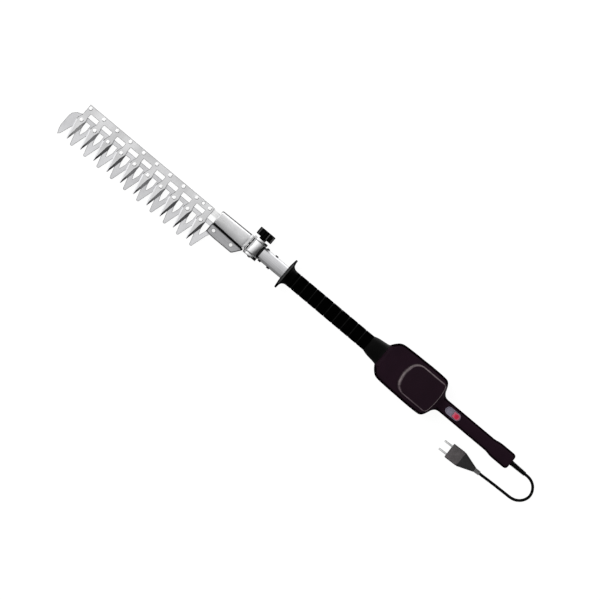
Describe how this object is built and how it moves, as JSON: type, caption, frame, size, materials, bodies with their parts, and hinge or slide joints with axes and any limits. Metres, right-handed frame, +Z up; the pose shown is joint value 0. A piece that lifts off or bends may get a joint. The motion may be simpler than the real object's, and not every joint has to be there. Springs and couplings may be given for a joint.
{
  "type": "hedge trimmer",
  "caption": "Corded electric hedge trimmer with a one-sided toothed blade on a tilting gearbox head, tube with guard and ringed grip, flat motor housing, rear handle, slide switch and a plug.",
  "frame": {"origin": "middle of the motor housing's flat underside, on the ground that the tool lies on", "axes": "+X from the blade to the rear handle, +Y towards the clamp knob (the teeth point to -Y), +Z up through the switch"},
  "size_m": [1.2004, 0.126, 0.07],
  "materials": {
    "blade_steel": "ground and lightly brushed",
    "rivet_steel": "turned, bright",
    "cast_alloy": "cast, satin silver",
    "barrel_alloy": "turned and polished",
    "bracket_grey": "cast, mid grey",
    "tube_alloy": "satin anodised",
    "seal_rubber": "black rubber",
    "grip_rubber": "black ringed rubber",
    "guard_plastic": "black moulded",
    "housing_plastic": "very dark purple brown, satin gloss",
    "knob_plastic": "black fluted",
    "shaft_steel": "ground steel",
    "gear_steel": "hardened steel, dark",
    "bronze": "sintered bronze",
    "copper": "enamelled copper wire",
    "core_iron": "laminated iron",
    "carbon": "carbon",
    "nylon": "white nylon",
    "switch_grey": "grey lilac",
    "switch_red": "red",
    "inner_plastic": "black moulded",
    "lead_plastic": "insulated wire",
    "cord_rubber": "black rubber sheath",
    "plug_rear": "dark grey rubber",
    "plug_pins": "nickel plated"
  },
  "bodies": {
    "root": {"housing_lower": "housing_plastic", "housing_upper": "housing_plastic", "motor_cover": "housing_plastic", "housing_screws": "shaft_steel", "collar": "guard_plastic", "tube": "tube_alloy", "grip_sleeve": "grip_rubber", "guard_flange": "guard_plastic", "knuckle": "barrel_alloy", "tube_screws": "gear_steel", "pivot_bushes": "bronze", "shaft_bushes": "bronze", "stator_core": "core_iron", "field_coils": "copper", "brush_holders": "bronze", "carbon_brushes": "carbon", "motor_bearings": "shaft_steel", "switch_bezel": "switch_grey", "switch_body": "inner_plastic", "internal_leads": "lead_plastic", "cord_clamp": "inner_plastic", "strain_relief": "cord_rubber", "cord": "cord_rubber", "plug_relief": "plug_rear", "plug_body": "plug_rear", "plug_pins": "plug_pins"},
    "drive_line": {"motor_shaft": "shaft_steel", "armature": "core_iron", "commutator": "copper", "cooling_fan": "nylon", "shaft_coupling": "shaft_steel", "drive_shaft": "shaft_steel", "drive_pinion": "gear_steel"},
    "pivot_idler": {"pivot_gear": "gear_steel"},
    "head": {"head_fork": "barrel_alloy", "gearbox_shell": "cast_alloy", "gearbox_cover": "cast_alloy", "gearbox_screws": "shaft_steel", "gearbox_seal": "seal_rubber", "foot_bracket": "bracket_grey", "bracket_screws": "rivet_steel", "head_bearings": "shaft_steel", "crank_bush": "bronze", "support_bar": "blade_steel", "comb_plate": "blade_steel", "comb_rivets": "rivet_steel", "guide_studs": "rivet_steel", "stud_washers": "shaft_steel", "pivot_bolt": "gear_steel"},
    "head_line": {"head_shaft": "gear_steel"},
    "crank": {"crank_gear": "gear_steel", "crank_roller": "shaft_steel"},
    "cutter": {"cutter_blade": "blade_steel"},
    "knob": {"clamp_knob": "knob_plastic", "knob_nut": "bronze"},
    "slider": {"switch_button": "switch_red"}
  },
  "joints": [
    {"name": "motor_spin", "type": "hinge", "parent": "root", "child": "drive_line", "pos_m": [0, 0, 0.035], "axis": [1, 0, 0], "range_deg": [-360, 360]},
    {"name": "idler_spin", "type": "hinge", "parent": "root", "child": "pivot_idler", "pos_m": [-0.402, 0, 0.035], "axis": [0, 1, 0], "range_deg": [-360, 360]},
    {"name": "head_tilt", "type": "hinge", "parent": "root", "child": "head", "pos_m": [-0.402, 0, 0.035], "axis": [0, -1, 0], "range_deg": [0, 90]},
    {"name": "head_shaft_spin", "type": "hinge", "parent": "head", "child": "head_line", "pos_m": [-0.43, 0, 0.035], "axis": [1, 0, 0], "range_deg": [-360, 360]},
    {"name": "crank_spin", "type": "hinge", "parent": "head", "child": "crank", "pos_m": [-0.455, 0, 0.03], "axis": [0, 0, 1], "range_deg": [-90, 90]},
    {"name": "cutter_slide", "type": "slide", "parent": "head", "child": "cutter", "axis": [1, 0, 0], "range_m": [-0.0065, 0.0065]},
    {"name": "knob_turn", "type": "hinge", "parent": "head", "child": "knob", "pos_m": [-0.402, 0.03, 0.035], "axis": [0, 1, 0], "range_deg": [0, 360]},
    {"name": "switch_slide", "type": "slide", "parent": "root", "child": "slider", "axis": [-1, 0, 0], "range_m": [0, 0.008]}
  ],
  "couplings": [
    {"joint": "idler_spin", "follows": "motor_spin", "ratio": 1},
    {"joint": "head_shaft_spin", "follows": "motor_spin", "ratio": -1},
    {"joint": "crank_spin", "follows": "motor_spin", "ratio": -0.25},
    {"joint": "cutter_slide", "follows": "motor_spin", "m_per_rad": 0.0010345}
  ]
}
